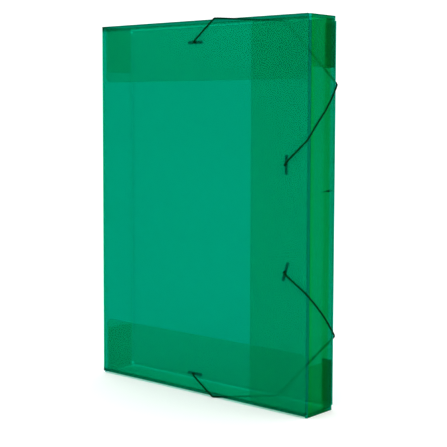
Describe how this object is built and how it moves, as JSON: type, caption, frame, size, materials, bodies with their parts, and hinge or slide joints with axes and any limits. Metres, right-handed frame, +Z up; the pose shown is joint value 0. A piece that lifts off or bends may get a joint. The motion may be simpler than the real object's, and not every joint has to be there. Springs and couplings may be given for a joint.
{
  "type": "elastic folder",
  "caption": "Flat translucent box for papers with a hinged cover, three inner flaps and corner elastics that hold it shut.",
  "frame": {"origin": "middle of the bottom of the box's outline, on the surface that the folder stands on", "axes": "+Z up along the height, +Y from the cover to the back through the depth, +X from the spine to the fore edge"},
  "size_m": [0.2467, 0.0444, 0.3367],
  "materials": {
    "tray_sheet": "fine satin, translucent",
    "flap_sheet": "fine satin, translucent",
    "cover_sheet": "fine satin, translucent",
    "t_bars": "smooth moulded",
    "elastic_cord": "braided round elastic"
  },
  "bodies": {
    "tray": {"back_panel": "tray_sheet", "spine": "tray_sheet", "fore_edge_wall": "tray_sheet", "top_wall": "tray_sheet", "bottom_wall": "tray_sheet", "spine_back_crease": "tray_sheet", "fore_back_crease": "tray_sheet", "top_back_crease": "tray_sheet", "bottom_back_crease": "tray_sheet", "top_spine_tab": "tray_sheet", "top_fore_tab": "tray_sheet", "bottom_spine_tab": "tray_sheet", "bottom_fore_tab": "tray_sheet"},
    "cover": {"cover": "cover_sheet", "cover_crease": "cover_sheet", "top_t_bar": "t_bars", "upper_fore_t_bar": "t_bars", "lower_fore_t_bar": "t_bars", "bottom_t_bar": "t_bars"},
    "top_flap": {"top_flap": "flap_sheet", "top_flap_crease": "flap_sheet"},
    "bottom_flap": {"bottom_flap": "flap_sheet", "bottom_flap_crease": "flap_sheet"},
    "fore_flap": {"fore_flap": "flap_sheet", "fore_flap_crease": "flap_sheet"},
    "upper_elastic": {"upper_elastic": "elastic_cord"},
    "lower_elastic": {"lower_elastic": "elastic_cord"}
  },
  "joints": [
    {"name": "cover_hinge", "type": "hinge", "parent": "tray", "child": "cover", "pos_m": [-0.1216, -0.0191, 0.1675], "axis": [0, 0, -1], "range_deg": [0, 175], "deforming": ["cover_crease", "upper_elastic", "lower_elastic"]},
    {"name": "top_flap_hinge", "type": "hinge", "parent": "tray", "child": "top_flap", "pos_m": [0, -0.0157, 0.332], "axis": [-1, 0, 0], "range_deg": [0, 175], "deforming": ["top_flap_crease", "top_flap"]},
    {"name": "bottom_flap_hinge", "type": "hinge", "parent": "tray", "child": "bottom_flap", "pos_m": [0, -0.0157, 0.003], "axis": [1, 0, 0], "range_deg": [0, 90], "deforming": ["bottom_flap_crease", "bottom_flap"]},
    {"name": "fore_flap_hinge", "type": "hinge", "parent": "tray", "child": "fore_flap", "pos_m": [0.1216, -0.0165, 0.1675], "axis": [0, 0, 1], "range_deg": [0, 175], "deforming": ["fore_flap_crease", "fore_flap"]},
    {"name": "upper_elastic_swing", "type": "hinge", "parent": "cover", "child": "upper_elastic", "pos_m": [-0.0026, -0.02025, 0.3158], "axis": [0.6985, 0, -0.7156], "range_deg": [0, 180], "stiffness_Nm_per_rad": 0.0002, "springref_deg": -85.94, "deforming": ["upper_elastic"]},
    {"name": "lower_elastic_swing", "type": "hinge", "parent": "cover", "child": "lower_elastic", "pos_m": [-0.0026, -0.02025, 0.018], "axis": [-0.7047, 0, -0.7095], "range_deg": [0, 180], "stiffness_Nm_per_rad": 0.0002, "springref_deg": -85.94, "deforming": ["lower_elastic"]}
  ]
}
